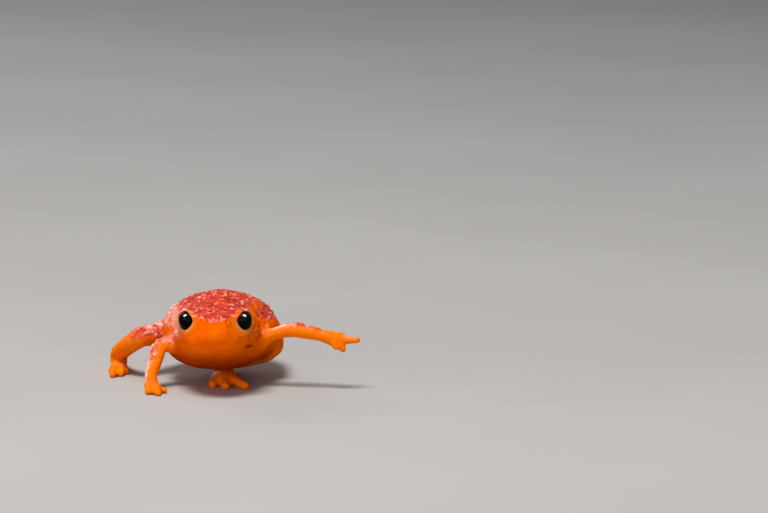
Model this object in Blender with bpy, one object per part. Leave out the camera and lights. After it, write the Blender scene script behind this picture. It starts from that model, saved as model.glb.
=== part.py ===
"""A pumpkin toadlet, life size, standing on one hand and both hind feet, its left arm held out.

The shapes are worked out in millimetres, and finish() turns each one into metres. +Z is up,
the animal looks along -Y with its head turned a little to its right, and its left side is at +X.
The origin ends up on the floor under the middle of the bounding box.
"""

import math

import bmesh
import bpy
import numpy as np
from mathutils import Matrix, Vector
from mathutils.bvhtree import BVHTree

# Driving dimensions, in millimetres.
SNOUT_VENT = 12.8
TRUNK_WIDTH = 6.8
BACK_HEIGHT = 5.36
BELLY_HEIGHT = 0.83
EYE_DIAMETER = 1.20
GAP = 0.25
EYE_GAP = 0.06
NECK_AT = 3.45
BODY_SIDESTEP = -0.20
BODY_YAW = math.radians(-1.0)
MM = 0.001

# The body along its axis: distance from the snout, half width, and the heights of the top, the
# widest level and the underside, before the two ends are rounded off.
BODY_STATIONS = (
    (0.0, 1.92, 4.92, 3.85, 2.98),
    (1.0, 2.04, 4.94, 3.72, 2.62),
    (2.2, 2.18, 5.03, 3.52, 2.16),
    (3.4, 2.38, 5.18, 3.34, 1.62),
    (4.3, 2.62, 5.28, 3.24, 1.17),
    (5.2, 3.06, 5.35, 3.16, 0.91),
    (6.2, TRUNK_WIDTH / 2, BACK_HEIGHT, 3.12, BELLY_HEIGHT),
    (7.5, 3.26, 5.16, 3.08, 0.98),
    (9.0, 2.88, 4.84, 3.06, 1.36),
    (10.5, 2.48, 4.48, 3.06, 1.80),
    (SNOUT_VENT, 2.10, 4.10, 3.06, 2.20),
)
# How the ends round off, seen from above and from the side: length in mm, and bluntness.
SNOUT_PLAN, SNOUT_PROFILE = (2.55, 2.05), (1.00, 2.3)
RUMP_PLAN, RUMP_PROFILE = (2.3, 2.2), (1.9, 2.2)
# How square the cross-section is: 2 is an ellipse. The folded left thigh leaves less room below.
HEAD_TOP, HEAD_BELOW = 2.6, 2.2
TRUNK_TOP, TRUNK_BELOW_LEFT, TRUNK_BELOW_RIGHT = 2.05, 2.0, 2.7
SPINE_RIDGE, SPINE_RIDGE_WIDTH = 0.07, 0.80

# The mouth runs round the snout at these heights, from the middle to its corners.
MOUTH_FRONT_Z, MOUTH_CORNER_Z = 3.44, 3.22
MOUTH_CENTRE = Vector((0.0, 2.3, 0.0))
MOUTH_SWEEP = math.radians(98)
MOUTH_DEPTH, MOUTH_OPENING = 0.20, 0.10
LIP_SWELL, LIP_SPREAD = 0.04, 0.28

# Places on the head, mirrored in x: the eyeball's centre and the way it looks.
EYE_CENTRE = Vector((1.52, 1.64, 4.45))
EYE_LOOK = Vector((0.60, -0.79, 0.12)).normalized()
EYE_OPENING = math.radians(61)
LID_SHELL, LID_RIM = 0.12, 0.09
NOSTRIL_LOOK = Vector((0.42, -0.80, 0.42)).normalized()
NOSTRIL_FROM = Vector((0.43, 1.12, 4.30))
NOSTRIL_RADIUS, NOSTRIL_DEPTH, NOSTRIL_RIM = 0.11, 0.30, 0.08

# Each limb is a list of knots, (x, y, z, radius), from inside the trunk outwards.
RIGHT_ARM = (
    (-1.30, 5.00, 2.66, 0.62),
    (-2.15, 4.72, 2.60, 0.56),
    (-2.90, 4.58, 2.55, 0.50),
    (-3.53, 4.36, 2.45, 0.45),
    (-3.80, 4.00, 1.99, 0.42),
    (-3.99, 3.62, 1.41, 0.39),
    (-4.13, 3.28, 0.90, 0.36),
    (-4.10, 3.05, 0.52, 0.33),
)
LEFT_ARM = (
    (1.20, 4.80, 2.35, 0.60),
    (1.95, 4.32, 2.72, 0.46),
    (2.68, 4.16, 3.04, 0.35),
    (3.40, 4.00, 3.36, 0.38),
    (4.02, 3.86, 3.49, 0.41),
    (4.70, 3.79, 3.41, 0.41),
    (5.44, 3.70, 3.28, 0.35),
    (6.05, 3.60, 3.14, 0.32),
)
RIGHT_LEG = (
    (-1.30, 11.2, 2.80, 0.85),
    (-2.60, 10.1, 2.58, 0.86),
    (-3.68, 8.80, 2.42, 0.72),
    (-4.38, 7.85, 2.46, 0.63),
    (-4.95, 7.25, 2.44, 0.57),
    (-5.48, 7.75, 2.05, 0.54),
    (-6.14, 9.00, 1.40, 0.53),
    (-6.48, 10.1, 0.84, 0.50),
    (-6.54, 10.7, 0.58, 0.44),
)
LEFT_LEG = (
    (1.20, 11.2, 2.75, 0.85),
    (2.20, 10.1, 2.50, 0.88),
    (2.62, 8.60, 2.24, 0.76),
    (2.72, 7.50, 2.02, 0.64),
    (2.66, 6.75, 1.86, 0.57),
    (2.20, 7.20, 1.38, 0.50),
    (1.30, 8.05, 0.94, 0.45),
    (0.40, 8.85, 0.68, 0.40),
    (-0.05, 9.30, 0.54, 0.36),
)
RIGHT_ELBOW, LEFT_ELBOW, KNEE = 3, 4, 4

# Hands and feet: which way the palm or sole is flattened, its knots, then those of the digits.
# A digit starts inside the palm.
RIGHT_HAND = {
    "flat": (0.0, 0.0, 1.0, 0.66),
    "palm": ((-4.09, 3.02, 0.42, 0.34), (-4.04, 2.76, 0.31, 0.42), (-3.92, 2.46, 0.25, 0.40)),
    "digits": (
        ((-4.06, 2.66, 0.24, 0.20), (-4.20, 2.36, 0.20, 0.18), (-4.24, 2.18, 0.16, 0.15)),
        ((-3.90, 2.58, 0.27, 0.26), (-3.74, 2.16, 0.22, 0.23), (-3.60, 1.86, 0.16, 0.18)),
        ((-3.90, 2.66, 0.27, 0.26), (-3.52, 2.60, 0.22, 0.23), (-3.20, 2.58, 0.16, 0.18)),
        ((-3.92, 2.84, 0.24, 0.21), (-3.66, 2.94, 0.19, 0.18), (-3.48, 2.98, 0.16, 0.15)),
    ),
}
LEFT_HAND = {
    "flat": (0.0, 1.0, 0.15, 0.66),
    "palm": ((6.25, 3.58, 3.08, 0.34), (6.50, 3.56, 3.00, 0.43), (6.74, 3.52, 2.95, 0.42)),
    "digits": (
        ((6.44, 3.48, 2.88, 0.22), (6.54, 3.38, 2.68, 0.20), (6.58, 3.34, 2.58, 0.17)),
        ((6.66, 3.48, 2.86, 0.26), (6.88, 3.42, 2.62, 0.23), (7.00, 3.36, 2.44, 0.18)),
        ((6.66, 3.52, 2.98, 0.28), (7.28, 3.48, 2.97, 0.23), (7.80, 3.42, 2.98, 0.19)),
        ((6.58, 3.58, 3.06, 0.24), (6.78, 3.64, 3.18, 0.20), (6.92, 3.68, 3.22, 0.17)),
    ),
}
RIGHT_FOOT = {
    "flat": (0.0, 0.0, 1.0, 0.66),
    "palm": ((-6.52, 10.50, 0.42, 0.44), (-6.46, 9.60, 0.33, 0.48), (-6.42, 8.86, 0.28, 0.50)),
    "digits": (
        ((-6.22, 8.90, 0.28, 0.24), (-6.04, 8.60, 0.23, 0.21), (-5.94, 8.36, 0.18, 0.17)),
        ((-6.32, 8.80, 0.30, 0.28), (-6.24, 8.20, 0.25, 0.25), (-6.20, 7.66, 0.18, 0.19)),
        ((-6.50, 8.80, 0.30, 0.29), (-6.62, 8.00, 0.25, 0.26), (-6.66, 7.36, 0.18, 0.20)),
        ((-6.62, 9.00, 0.26, 0.22), (-6.76, 8.72, 0.21, 0.19), (-6.84, 8.52, 0.17, 0.15)),
    ),
}
LEFT_FOOT = {
    "flat": (0.0, 0.0, 1.0, 0.56),
    "palm": ((-0.10, 9.12, 0.42, 0.38), (-0.16, 7.60, 0.34, 0.56), (-0.04, 5.95, 0.24, 0.68)),
    "digits": (
        ((-0.42, 5.90, 0.26, 0.29), (-0.52, 4.95, 0.23, 0.28), (-0.60, 4.18, 0.18, 0.21)),
        ((-0.10, 5.80, 0.27, 0.31), (0.06, 4.60, 0.25, 0.30), (0.16, 3.68, 0.19, 0.23)),
        ((0.10, 5.90, 0.27, 0.31), (0.74, 4.75, 0.24, 0.29), (1.34, 3.80, 0.18, 0.22)),
        ((0.22, 6.16, 0.25, 0.25), (0.62, 5.80, 0.21, 0.22), (0.84, 5.56, 0.17, 0.17)),
    ),
}

HEAD_SIDES, TRUNK_SIDES = 60, 52
LIMB_SIDES, PALM_SIDES, DIGIT_SIDES = 16, 16, 10
RING_STEP = {"head": 0.19, "trunk": 0.38, "limb": 0.26, "palm": 0.22, "digit": 0.20}

# Name, colour, roughness of each finish.
FINISHES = {
    "skin_head": ((0.90, 0.26, 0.02), 0.35),
    "skin_back": ((0.78, 0.12, 0.03), 0.38),
    "skin_limb": ((0.92, 0.27, 0.02), 0.35),
    "eye": ((0.010, 0.009, 0.010), 0.06),
}


def interpolate(stations, along):
    """Values at along on a smooth curve through stations, whose first column is the distance."""
    at = [s[0] for s in stations]
    k = max(0, min(len(at) - 2, sum(a <= along for a in at) - 1))
    rows = [np.array(s[1:]) for s in stations]

    def slope(i):
        before, after = max(i - 1, 0), min(i + 1, len(at) - 1)
        return (rows[after] - rows[before]) / (at[after] - at[before])

    span = at[k + 1] - at[k]
    f = (along - at[k]) / span
    return (
        (2 * f**3 - 3 * f**2 + 1) * rows[k]
        + (f**3 - 2 * f**2 + f) * span * slope(k)
        + (3 * f**2 - 2 * f**3) * rows[k + 1]
        + (f**3 - f**2) * span * slope(k + 1)
    )


def rounding(from_end, shape):
    """Share of full size at this distance from an end that rounds off over shape's length."""
    length, bluntness = shape
    share = 1 - min(max(from_end / length, 0.0), 1.0)
    return (1 - share**bluntness) ** (1 / bluntness)


def signed_power(value, power):
    return math.copysign(abs(value) ** power, value)


def bell(value, width):
    return math.exp(-((value / width) ** 2))


def body_point(along, angle, grow=0.0):
    """A point of the body's surface, before it is turned. Angle 0 is the left side, 90 degrees the top."""
    half, top, widest, low = interpolate(BODY_STATIONS, along)
    to_rump = SNOUT_VENT - along
    plan = rounding(along, SNOUT_PLAN) * rounding(to_rump, RUMP_PLAN)
    profile = rounding(along, SNOUT_PROFILE) * rounding(to_rump, RUMP_PROFILE)
    blend = min(max((along - 2.0) / 3.0, 0.0), 1.0)
    across, up = math.cos(angle), math.sin(angle)
    trunk_below = TRUNK_BELOW_LEFT if across > 0 else TRUNK_BELOW_RIGHT
    head, trunk = (HEAD_TOP, TRUNK_TOP) if up > 0 else (HEAD_BELOW, trunk_below)
    squareness = head + (trunk - head) * blend
    reach = (top if up > 0 else 2 * widest - low) - widest
    x = (half * plan + grow) * signed_power(across, 2 / squareness)
    z = widest + (reach * profile + grow) * signed_power(up, 2 / squareness)
    if up > 0:
        z += SPINE_RIDGE * blend * profile * up * bell(x, SPINE_RIDGE_WIDTH)
    lips = LIP_SWELL * (1 - blend) * plan * bell(z - mouth_height(along), LIP_SPREAD)
    return Vector((x + math.copysign(lips, x), along - lips * (1 - plan), z))


def mouth_height(along):
    share = min(along / 2.6, 1.0)
    return MOUTH_FRONT_Z + (MOUTH_CORNER_Z - MOUTH_FRONT_Z) * share**2


def turned(point):
    """Turns a point of the straight body to the way the animal faces."""
    pivot = Vector((0.0, SNOUT_VENT / 2, 0.0))
    return Matrix.Rotation(BODY_YAW, 3, "Z") @ (point - pivot) + pivot + Vector((BODY_SIDESTEP, 0, 0))


def new_object(name, bm):
    """Puts a finished bmesh into the scene, its faces turned outwards."""
    bmesh.ops.recalc_face_normals(bm, faces=bm.faces)
    mesh = bpy.data.meshes.new(name)
    bm.to_mesh(mesh)
    bm.free()
    obj = bpy.data.objects.new(name, mesh)
    bpy.context.scene.collection.objects.link(obj)
    return obj


def lofted(name, rings):
    """A closed mesh through rings of points. A ring of one point is a pole, and others are capped flat."""
    bm = bmesh.new()
    loops = [[bm.verts.new(p) for p in ring] for ring in rings]
    for near, far in zip(loops, loops[1:]):
        count = max(len(near), len(far))
        for i in range(count):
            j = (i + 1) % count
            corners = [near[i % len(near)], near[j % len(near)], far[j % len(far)], far[i % len(far)]]
            bm.faces.new(list(dict.fromkeys(corners)))
    for end in (loops[0], loops[-1]):
        if len(end) > 2:
            bm.faces.new(end)
    return new_object(name, bm)


def body_between(name, start, end, sides, step, grow=0.0):
    """The stretch of head and trunk between two distances from the snout, closed at both ends."""
    count = max(6, round((end - start) / step))
    rings = []
    for i in range(count + 1):
        along = start + (end - start) * i / count
        if start == 0.0:
            # Rings crowd towards the snout, where the surface turns fastest.
            along = end * (1 - math.cos(math.pi / 2 * i / count)) ** 1.15
        if end == SNOUT_VENT:
            along = start + (end - start) * math.sin(math.pi / 2 * i / count)
        if along <= 0.0 or along >= SNOUT_VENT:
            tip = Vector((0.0, along, interpolate(BODY_STATIONS, along)[2]))
            rings.append([turned(tip + Vector((0.0, math.copysign(grow, along - 1.0), 0.0)))])
            continue
        ring = [body_point(along, 2 * math.pi * k / sides, grow) for k in range(sides)]
        rings.append([turned(p) for p in ring])
    return lofted(name, rings)


def reach_of(knots):
    """How far along the limb each knot is, measured straight from knot to knot."""
    at = [0.0]
    for a, b in zip(knots, knots[1:]):
        at.append(at[-1] + (Vector(b[:3]) - Vector(a[:3])).length)
    return at


def tube(
    name, knots, sides, step, start=None, end=None, up=None, flatten=1.0, round_ends=(False, False), grow=0.0
):
    """A tube through the knots, or from start to end along them, flattened along up if that is given."""
    at = reach_of(knots)
    stations = [(s, *knot) for s, knot in zip(at, knots)]
    start = at[0] if start is None else start
    end = at[-1] if end is None else end
    count = max(2, math.ceil((end - start) / step))
    places = [start + (end - start) * i / count for i in range(count + 1)]
    values = [interpolate(stations, s) for s in places]
    centres = [Vector(v[:3]) for v in values]
    radii = [v[3] + grow for v in values]
    tangents = [
        (centres[min(i + 1, count)] - centres[max(i - 1, 0)]).normalized() for i in range(count + 1)
    ]
    if round_ends[1]:
        centres, radii, tangents = with_round_tip(centres, radii, tangents)
    if round_ends[0]:
        reverse = with_round_tip(centres[::-1], radii[::-1], [-t for t in tangents[::-1]])
        centres, radii, tangents = (list(x)[::-1] for x in reverse)
        tangents = [-t for t in tangents]
    side = tangents[0].orthogonal().normalized() if up is None else tangents[0].cross(up).normalized()
    rings = []
    for centre, radius, tangent in zip(centres, radii, tangents):
        if radius <= 0.0:
            rings.append([centre])
            continue
        side = (side - tangent * side.dot(tangent)).normalized()
        other = side.cross(tangent).normalized()
        rings.append(
            [
                centre + side * radius * math.cos(a) + other * radius * flatten * math.sin(a)
                for a in (2 * math.pi * k / sides for k in range(sides))
            ]
        )
    return lofted(name, rings)


def with_round_tip(centres, radii, tangents):
    """Adds the rings of a round tip beyond the last ring. The last radius, 0, is the tip's pole."""
    centre, radius, tangent = centres[-1], radii[-1], tangents[-1]
    for angle in (math.radians(32), math.radians(62)):
        centres = centres + [centre + tangent * radius * math.sin(angle)]
        radii = radii + [radius * math.cos(angle)]
        tangents = tangents + [tangent]
    return centres + [centre + tangent * radius], radii + [0.0], tangents + [tangent]


def apply_boolean(obj, others, operation, solver="EXACT"):
    """Joins or cuts obj with other closed meshes in one Boolean, and removes them."""
    group = bpy.data.collections.new(obj.name + "_with")
    bpy.context.scene.collection.children.link(group)
    for other in others:
        bpy.context.scene.collection.objects.unlink(other)
        group.objects.link(other)
    modifier = obj.modifiers.new(operation.lower(), "BOOLEAN")
    modifier.operation = operation
    modifier.solver = solver
    modifier.operand_type = "COLLECTION"
    modifier.collection = group
    graph = bpy.context.evaluated_depsgraph_get()
    result = bpy.data.meshes.new_from_object(obj.evaluated_get(graph))
    obj.modifiers.clear()
    obj.data = result
    for other in others:
        bpy.data.objects.remove(other)
    bpy.data.collections.remove(group)
    keep_largest(obj)
    return obj


def keep_largest(obj):
    """Leaves only the closed surface with the most volume, so that the node is one body."""
    bm = bmesh.new()
    bm.from_mesh(obj.data)
    left, shells = set(bm.verts), []
    while left:
        shell, edge = set(), [next(iter(left))]
        while edge:
            vert = edge.pop()
            if vert in shell:
                continue
            shell.add(vert)
            edge.extend(e.other_vert(vert) for e in vert.link_edges)
        shells.append(shell)
        left -= shell

    def size(shell):
        points = np.array([v.co for v in shell])
        return float(np.prod(points.max(0) - points.min(0)))

    keep = max(shells, key=size)
    bmesh.ops.delete(bm, geom=[v for v in bm.verts if v not in keep], context="VERTS")
    bm.to_mesh(obj.data)
    bm.free()


def floor_block():
    """A block whose top is the floor, for cutting the soles flat."""
    bm = bmesh.new()
    bmesh.ops.create_cube(bm, size=40.0)
    bmesh.ops.translate(bm, verts=bm.verts, vec=(0.0, 0.0, -20.0))
    return new_object("floor_block", bm)


def ball(name, centre, radius, segments=24, stretch=(1.0, 1.0, 1.0), pole=Vector((0, 0, 1))):
    bm = bmesh.new()
    bmesh.ops.create_uvsphere(bm, u_segments=segments, v_segments=segments * 2 // 3, radius=radius)
    turn = pole.to_track_quat("Z", "Y").to_matrix().to_4x4()
    bm.transform(Matrix.Translation(centre) @ turn @ Matrix.Diagonal((*stretch, 1.0)))
    return new_object(name, bm)


def ring_round(name, centre, axis, major, minor, sides=24, thickness_sides=8, tilt=0.0):
    """A torus round axis. With a tilt, its upper half is fatter than its lower half."""
    side = axis.cross(Vector((0, 0, 1))).normalized()
    up = side.cross(axis).normalized()
    bm = bmesh.new()
    loops = []
    for i in range(sides):
        a = 2 * math.pi * i / sides
        out = side * math.cos(a) + up * math.sin(a)
        fat = minor * (1 + tilt * math.sin(a))
        middle = centre + out * major
        loops.append(
            [
                bm.verts.new(middle + (out * math.cos(b) + axis * math.sin(b)) * fat)
                for b in (2 * math.pi * k / thickness_sides for k in range(thickness_sides))
            ]
        )
    for near, far in zip(loops, loops[1:] + loops[:1]):
        for k in range(thickness_sides):
            j = (k + 1) % thickness_sides
            bm.faces.new((near[k], near[j], far[j], far[k]))
    return new_object(name, bm)


def funnel(name, tip, way, half_angle, length, depth, sides=28):
    """A cone that opens out from its tip along way, and runs straight on from length to depth."""
    side = way.orthogonal().normalized()
    other = way.cross(side)
    reach = length * math.tan(half_angle)
    angles = [2 * math.pi * k / sides for k in range(sides)]
    rim = [(side * math.cos(a) + other * math.sin(a)) * reach for a in angles]
    return lofted(name, [[tip], [tip + way * length + r for r in rim], [tip + way * depth + r for r in rim]])


def surface_of(obj):
    """Finds where a ray from inside the object meets its surface."""
    bm = bmesh.new()
    bm.from_mesh(obj.data)
    tree = BVHTree.FromBMesh(bm)
    bm.free()
    return lambda start, way: tree.ray_cast(start, way)[:2]


def mouth_blade(hit):
    """A V-shaped blade bent round the snout, which cuts the line between the lips."""
    rings = []
    count = 30
    for i in range(count + 1):
        share = 2 * i / count - 1
        sweep = MOUTH_SWEEP * share
        height = MOUTH_FRONT_Z + (MOUTH_CORNER_Z - MOUTH_FRONT_Z) * min(abs(share) * 1.25, 1.0) ** 2
        start = turned(MOUTH_CENTRE + Vector((0, 0, height)))
        way = Matrix.Rotation(BODY_YAW, 3, "Z") @ Vector((math.sin(sweep), -math.cos(sweep), 0.0))
        point, _ = hit(start, way)
        depth = MOUTH_DEPTH * min(1.0, (1 - abs(share)) * 8) + 0.02
        outer = 0.30
        lift = Vector((0, 0, MOUTH_OPENING / 2 * (outer + depth) / MOUTH_DEPTH))
        rings.append([point - way * depth, point + way * outer + lift, point + way * outer - lift])
    return lofted("mouth_blade", rings)


def make_head():
    head = body_between("head", 0.0, NECK_AT - GAP / 2, HEAD_SIDES, RING_STEP["head"])
    hit = surface_of(head)
    turn = Matrix.Rotation(BODY_YAW, 3, "Z")
    added, cutters = [], [mouth_blade(hit)]
    for side in (-1, 1):
        mirror = Vector((side, 1, 1))
        centre = turned(EYE_CENTRE * mirror)
        look = turn @ (EYE_LOOK * mirror)
        socket = EYE_DIAMETER / 2 + EYE_GAP
        rim = socket + LID_SHELL / 2
        around = (look, rim * math.sin(EYE_OPENING), LID_RIM)
        added.append(ball("lids", centre, socket + LID_SHELL, 32, pole=look))
        added.append(ring_round("lid_rim", centre + look * rim * math.cos(EYE_OPENING), *around, tilt=0.2))
        cutters.append(ball("socket", centre, socket, pole=look))
        cutters.append(funnel("opening", centre, look, EYE_OPENING - math.radians(4), 0.42, 1.1))
        way = turn @ (NOSTRIL_LOOK * mirror)
        point, _ = hit(turned(NOSTRIL_FROM * mirror), way)
        added.append(ring_round("rim", point - way * 0.02, way, NOSTRIL_RADIUS + 0.04, NOSTRIL_RIM, 12, 6))
        hole = (1.0, 1.0, NOSTRIL_DEPTH / NOSTRIL_RADIUS)
        cutters.append(ball("nostril", point, NOSTRIL_RADIUS, 12, hole, way))
        eye = ball("eye_right" if side < 0 else "eye_left", centre, EYE_DIAMETER / 2, pole=look)
        finish(eye, "eye")
    apply_boolean(head, added, "UNION")
    apply_boolean(head, cutters, "DIFFERENCE")
    finish(head, "skin_head")


def make_trunk():
    trunk = body_between("trunk", NECK_AT + GAP / 2, SNOUT_VENT, TRUNK_SIDES, RING_STEP["trunk"])
    finish(trunk, "skin_back")


def body_cutter():
    return body_between("body_cutter", 0.0, SNOUT_VENT, TRUNK_SIDES, RING_STEP["trunk"], grow=GAP)


def make_limb(side, knots, bend_knot, upper, lower):
    """The two lengths of an arm or leg, parted at the elbow or knee, its root cut clear of the body."""
    at = reach_of(knots)
    bend = at[bend_knot]
    step = RING_STEP["limb"]
    knob = (False, True)
    root = tube(f"{upper}_{side}", knots, LIMB_SIDES, step, end=bend, round_ends=knob)
    around_root = tube("around_root", knots, LIMB_SIDES, step, end=bend, grow=GAP, round_ends=knob)
    heel = (False, lower == "shank")
    start = bend + 0.7 * knots[bend_knot][3]
    far = tube(f"{lower}_{side}", knots, LIMB_SIDES, step, start=start, end=at[-1] - GAP / 2, round_ends=heel)
    apply_boolean(root, [body_cutter()], "DIFFERENCE")
    apply_boolean(far, [around_root, body_cutter()], "DIFFERENCE")
    finish(root, "skin_limb")
    finish(far, "skin_limb")


def make_extremity(name, plan, limb):
    """A hand or foot: the palm and its digits fused, cut clear of its limb and flat on the floor."""
    *up, flatten = plan["flat"]
    up = Vector(up).normalized()
    palm = tube(name, plan["palm"], PALM_SIDES, RING_STEP["palm"], up=up, flatten=flatten, round_ends=(False, True))
    digits = [
        tube("digit", knots, DIGIT_SIDES, RING_STEP["digit"], up=up, round_ends=(True, True))
        for knots in plan["digits"]
    ]
    heel = name.startswith("foot")
    end = reach_of(limb)[-1] + (-GAP / 2 if heel else GAP / 2)
    around_limb = tube(
        "around_limb", limb, LIMB_SIDES, RING_STEP["limb"], end=end, round_ends=(False, heel), grow=GAP
    )
    apply_boolean(palm, digits, "UNION")
    apply_boolean(palm, [around_limb, floor_block()], "DIFFERENCE")
    finish(palm, "skin_limb")


def finish(obj, finish_name):
    """Gives the object its material, smooth shading and its size in metres."""
    colour, roughness = FINISHES[finish_name]
    material = bpy.data.materials.get(finish_name) or bpy.data.materials.new(finish_name)
    material.use_nodes = True
    shader = material.node_tree.nodes["Principled BSDF"]
    shader.inputs["Base Color"].default_value = (*colour, 1.0)
    shader.inputs["Roughness"].default_value = roughness
    shader.inputs["Metallic"].default_value = 0.0
    obj.data.materials.clear()
    obj.data.materials.append(material)
    obj.data.transform(Matrix.Scale(MM, 4))
    obj.data.shade_smooth()
    obj.data.set_sharp_from_angle(angle=math.radians(40))


def centre_on_floor():
    """Moves every node so that the origin is on the floor under the middle of the bounding box."""
    nodes = [o for o in bpy.context.scene.objects if o.type == "MESH"]
    points = np.array([v.co for o in nodes for v in o.data.vertices])
    low, high = points.min(0), points.max(0)
    shift = Matrix.Translation((-(low[0] + high[0]) / 2, -(low[1] + high[1]) / 2, -low[2]))
    for node in nodes:
        node.data.transform(shift)


def main():
    for obj in list(bpy.data.objects):
        bpy.data.objects.remove(obj)
    make_head()
    make_trunk()
    make_limb("right", RIGHT_ARM, RIGHT_ELBOW, "upper_arm", "forearm")
    make_limb("left", LEFT_ARM, LEFT_ELBOW, "upper_arm", "forearm")
    make_limb("right", RIGHT_LEG, KNEE, "thigh", "shank")
    make_limb("left", LEFT_LEG, KNEE, "thigh", "shank")
    make_extremity("hand_right", RIGHT_HAND, RIGHT_ARM)
    make_extremity("hand_left", LEFT_HAND, LEFT_ARM)
    make_extremity("foot_right", RIGHT_FOOT, RIGHT_LEG)
    make_extremity("foot_left", LEFT_FOOT, LEFT_LEG)
    centre_on_floor()


main()
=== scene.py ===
"""Looks of the pumpkin toadlet: one moist, granular skin over the whole body, wet black eyes,
a pale floor, soft studio light and the photograph's camera.

Shapes are worked out in the CAD source's millimetres, with the floor at z = 0 and the snout
near y = 0, and place() turns them into the row frame's metres.
"""

import math

import bpy
import numpy as np
from mathutils import Matrix, Vector
from mathutils.bvhtree import BVHTree


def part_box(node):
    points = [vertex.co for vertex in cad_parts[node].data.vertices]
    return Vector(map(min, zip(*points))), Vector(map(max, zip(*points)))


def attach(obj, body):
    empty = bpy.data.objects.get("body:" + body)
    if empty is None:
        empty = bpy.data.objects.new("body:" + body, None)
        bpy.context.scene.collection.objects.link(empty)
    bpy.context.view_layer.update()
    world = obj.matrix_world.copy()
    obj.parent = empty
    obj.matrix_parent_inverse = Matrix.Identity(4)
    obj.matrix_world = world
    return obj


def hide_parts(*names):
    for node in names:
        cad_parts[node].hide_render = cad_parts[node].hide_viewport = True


MM = 0.001
FLESH = ["head", "trunk"]
for parts in (("upper_arm", "forearm", "hand"), ("thigh", "shank", "foot")):
    for side in ("left", "right"):
        FLESH += [f"{part}_{side}" for part in parts]

# The straight body, as in the CAD source apart from slighter lips: distance from the snout, half
# width, and the heights of the top, the widest level and the underside.
LENGTH = 12.8
BODY_STATIONS = (
    (0.0, 1.92, 4.92, 3.85, 2.98),
    (1.0, 2.04, 4.94, 3.72, 2.62),
    (2.2, 2.18, 5.03, 3.52, 2.16),
    (3.4, 2.38, 5.18, 3.34, 1.62),
    (4.3, 2.62, 5.28, 3.24, 1.17),
    (5.2, 3.06, 5.35, 3.16, 0.91),
    (6.2, 3.40, 5.36, 3.12, 0.83),
    (7.5, 3.26, 5.16, 3.08, 0.98),
    (9.0, 2.88, 4.84, 3.06, 1.36),
    (10.5, 2.48, 4.48, 3.06, 1.80),
    (LENGTH, 2.10, 4.10, 3.06, 2.20),
)
SNOUT_PLAN, SNOUT_PROFILE = (2.55, 2.05), (1.00, 2.3)
RUMP_PLAN, RUMP_PROFILE = (2.3, 2.2), (1.9, 2.2)
HEAD_TOP, HEAD_BELOW = 2.6, 2.2
TRUNK_TOP, TRUNK_BELOW_LEFT, TRUNK_BELOW_RIGHT = 2.05, 2.0, 2.7
SPINE_RIDGE, SPINE_RIDGE_WIDTH = 0.07, 0.80
LIP_SWELL, LIP_SPREAD = 0.015, 0.28
MOUTH_FRONT_Z, MOUTH_CORNER_Z = 3.44, 3.22
MOUTH_LENGTH, MOUTH_CENTRE_Y, MOUTH_SWEEP = 2.6, 2.3, math.radians(98)
BODY_YAW, BODY_SIDESTEP = math.radians(-1.0), -0.20

# The head's features, for the left side. The right side is mirrored in x.
EYE_CENTRE = np.array([1.52, 1.64, 4.45])
EYE_LOOK = np.array([0.60, -0.79, 0.12])
EYE_RADIUS, SOCKET, LID = 0.60, 0.608, 0.075
LID_OPENING, LID_FILLET, LID_REACH = math.radians(58), 0.42, 1.6
# The lids' opening starts this far from the eye's centre and flares up to this far beyond the lids.
LID_START, LID_END, LID_FLARE = 0.3, 0.4, 0.4
# The opening's fillet, how fast it grows beyond the lids, and the socket's.
LID_EDGE, LID_EDGE_GROWTH, SOCKET_FILLET = 0.08, 0.6, 0.015
CORNEA_LOOK = np.array([0.62, -0.70, 0.35])
CORNEA_AT, CORNEA_RADIUS, CORNEA_FILLET = 0.30, 0.38, 0.09
NOSTRIL_AT = np.array([0.78, 0.46, 4.64])
NOSTRIL_LOOK = np.array([0.42, -0.80, 0.42])
# The nostril's two ends, as steps along its look, with the radius at each.
NOSTRIL_ENDS = (-0.16, 0.06), (0.25, 0.10)
NOSTRIL_RIM, NOSTRIL_REACH = 0.10, 0.6

# Limbs: knots of (x, y, z, radius) from inside the trunk outwards. They are the CAD source's, apart
# from a fuller left knee.
RIGHT_ARM = (
    (-1.30, 5.00, 2.66, 0.62),
    (-2.15, 4.72, 2.60, 0.56),
    (-2.90, 4.58, 2.55, 0.50),
    (-3.53, 4.36, 2.45, 0.45),
    (-3.80, 4.00, 1.99, 0.42),
    (-3.99, 3.62, 1.41, 0.39),
    (-4.13, 3.28, 0.90, 0.36),
    (-4.10, 3.05, 0.52, 0.33),
)
LEFT_ARM = (
    (1.20, 4.80, 2.35, 0.60),
    (1.95, 4.32, 2.72, 0.46),
    (2.68, 4.16, 3.04, 0.35),
    (3.40, 4.00, 3.36, 0.38),
    (4.02, 3.86, 3.49, 0.41),
    (4.70, 3.79, 3.41, 0.41),
    (5.44, 3.70, 3.28, 0.35),
    (6.05, 3.60, 3.14, 0.32),
)
RIGHT_LEG = (
    (-1.30, 11.2, 2.80, 0.85),
    (-2.60, 10.1, 2.58, 0.86),
    (-3.68, 8.80, 2.42, 0.72),
    (-4.38, 7.85, 2.46, 0.63),
    (-4.95, 7.25, 2.44, 0.57),
    (-5.48, 7.75, 2.05, 0.54),
    (-6.14, 9.00, 1.40, 0.53),
    (-6.48, 10.1, 0.84, 0.50),
    (-6.54, 10.7, 0.58, 0.44),
)
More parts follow.
